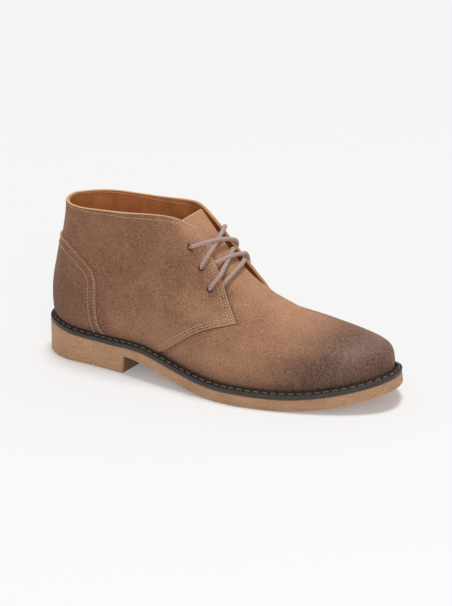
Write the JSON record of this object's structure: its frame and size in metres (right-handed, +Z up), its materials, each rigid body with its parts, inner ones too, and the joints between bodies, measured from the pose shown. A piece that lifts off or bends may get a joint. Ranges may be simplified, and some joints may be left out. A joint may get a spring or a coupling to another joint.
{
  "type": "chukka boot",
  "caption": "Right ankle boot with two-sided lacing over a plain vamp, a stitched welt and a low moulded sole with heel.",
  "frame": {"origin": "on the floor, at the centre of the heel's flat bottom face", "axes": "+X toward the toe, +Y toward the inner side of the foot, +Z up from the floor"},
  "size_m": [0.3113, 0.1092, 0.1352],
  "materials": {
    "suede": "brushed brown suede, darker toward toe and heel",
    "insole_leather": "smooth tan leather",
    "welt_rubber": "dark grey, matt",
    "sole_rubber": "tan gum rubber, matt",
    "lace_cord": "braided cotton cord, dusty pink taupe"
  },
  "bodies": {
    "root": {"upper": "suede", "tongue": "suede", "heel_counter": "suede", "insole": "insole_leather", "welt": "welt_rubber", "outsole": "sole_rubber", "lace_upper_cross": "lace_cord", "lace_lower_cross": "lace_cord", "lace_bar": "lace_cord"}
  },
  "joints": []
}
